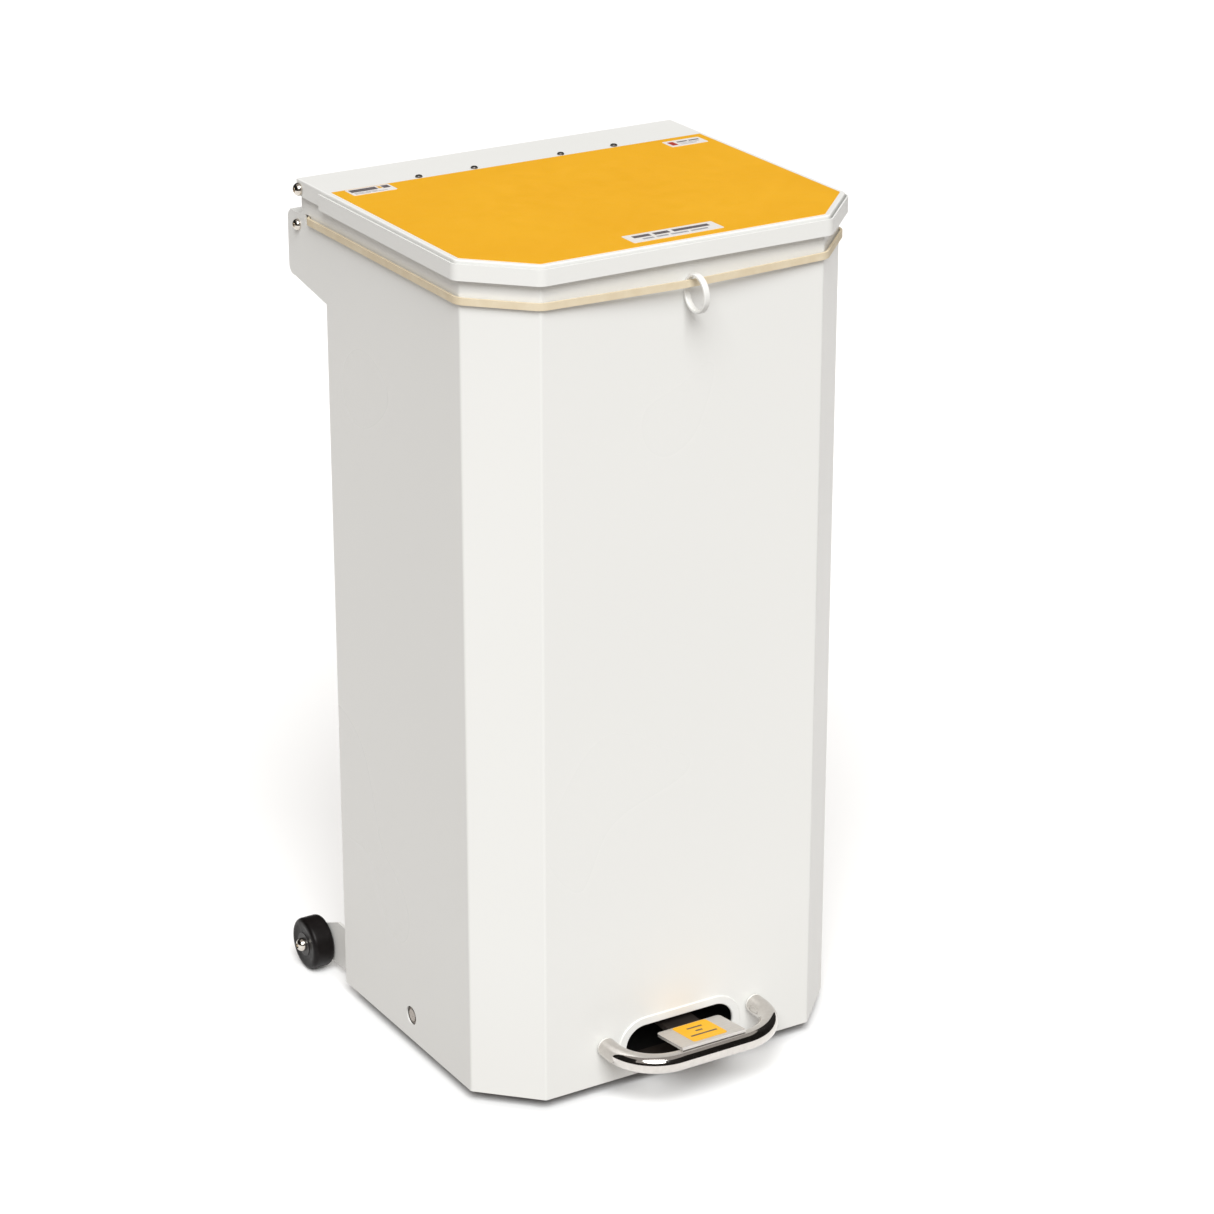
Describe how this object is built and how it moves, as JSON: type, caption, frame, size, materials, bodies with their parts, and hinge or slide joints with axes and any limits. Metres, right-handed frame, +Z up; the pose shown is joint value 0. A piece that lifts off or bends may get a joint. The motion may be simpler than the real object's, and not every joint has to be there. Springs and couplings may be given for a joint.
{
  "type": "pedal bin",
  "caption": "White steel hospital pedal bin with a yellow-topped hinged lid, chrome foot bar, rubber bag band and rear tilt wheels.",
  "frame": {"origin": "middle of the footprint, on the floor", "axes": "+Z up, +X to the right of someone facing the front, front towards -Y"},
  "size_m": [0.4404, 0.472, 0.8354],
  "materials": {
    "white_enamel": "white baked enamel, slight orange peel",
    "yellow_vinyl": "yellow self-adhesive vinyl",
    "printed_label": "white printed label",
    "bright_screws": "bright plated domes",
    "chrome_plate": "polished chrome plate",
    "zinc_steel": "zinc-plated steel",
    "pedal_steel": "satin steel",
    "black_paint": "black paint",
    "black_rubber": "black rubber",
    "black_nylon": "black nylon",
    "nylon": "off-white nylon",
    "natural_rubber": "natural pale rubber",
    "white_plastic": "white moulded plastic"
  },
  "bodies": {
    "body": {"body_shell": "white_enamel", "back_panel": "white_enamel", "floor_pan": "zinc_steel", "base_ring": "white_enamel", "bag_rim": "white_enamel", "slot_trim": "white_enamel", "feet": "black_rubber", "lid_buffers": "black_rubber", "left_housing_plate": "white_enamel", "right_housing_plate": "white_enamel", "housing_cover": "white_enamel", "rod_cover": "white_enamel", "spreader_bar": "zinc_steel", "spreader_screws": "bright_screws", "hinge_screws": "bright_screws", "hinge_spacers": "nylon", "hinge_nuts": "zinc_steel", "rod_guides": "nylon", "pedal_axle": "zinc_steel", "axle_bushes": "bright_screws", "axle_collars": "zinc_steel", "left_wheel_bracket": "white_enamel", "right_wheel_bracket": "white_enamel", "wheel_bolts": "bright_screws", "wheel_nuts": "zinc_steel", "rubber_band": "natural_rubber"},
    "lid": {"lid_plate": "white_enamel", "lid_rim": "white_enamel", "lid_lining": "white_enamel", "yellow_panel": "yellow_vinyl", "lid_rivets": "zinc_steel", "rear_left_label": "printed_label", "rear_right_label": "printed_label", "front_label": "printed_label", "lid_crank": "zinc_steel", "crank_pin": "zinc_steel"},
    "rod": {"rod_head": "nylon", "push_rod": "zinc_steel", "rod_foot": "nylon"},
    "pedal": {"pedal_arm": "black_paint", "pedal_tread": "pedal_steel", "pedal_label": "yellow_vinyl", "pedal_bar": "chrome_plate", "bar_end_plugs": "nylon", "pivot_tube": "zinc_steel"},
    "left_wheel": {"left_tyre": "black_rubber", "left_hub": "black_nylon"},
    "right_wheel": {"right_tyre": "black_rubber", "right_hub": "black_nylon"},
    "ring": {"pull_ring": "white_plastic"}
  },
  "joints": [
    {"name": "lid_hinge", "type": "hinge", "parent": "body", "child": "lid", "pos_m": [0, 0.18055, 0.8244], "axis": [-1, 0, 0], "range_deg": [0, 70]},
    {"name": "pedal_pivot", "type": "hinge", "parent": "body", "child": "pedal", "pos_m": [0, 0.00355, 0.038], "axis": [1, 0, 0], "range_deg": [0, 7.3]},
    {"name": "rod_slide", "type": "slide", "parent": "body", "child": "rod", "axis": [0, 0, 1], "range_m": [0, 0.02065]},
    {"name": "left_wheel_spin", "type": "hinge", "parent": "body", "child": "left_wheel", "pos_m": [0, 0.20955, 0.0273], "axis": [1, 0, 0], "continuous": true},
    {"name": "right_wheel_spin", "type": "hinge", "parent": "body", "child": "right_wheel", "pos_m": [0, 0.20955, 0.0273], "axis": [1, 0, 0], "continuous": true},
    {"name": "ring_swing", "type": "hinge", "parent": "body", "child": "ring", "pos_m": [0, -0.17645, 0.7955], "axis": [-1, 0, 0], "range_deg": [0, 60]}
  ],
  "couplings": [
    {"joint": "pedal_pivot", "follows": "lid_hinge", "ratio": 0.10429},
    {"joint": "rod_slide", "follows": "lid_hinge", "m_per_rad": 0.016901}
  ]
}
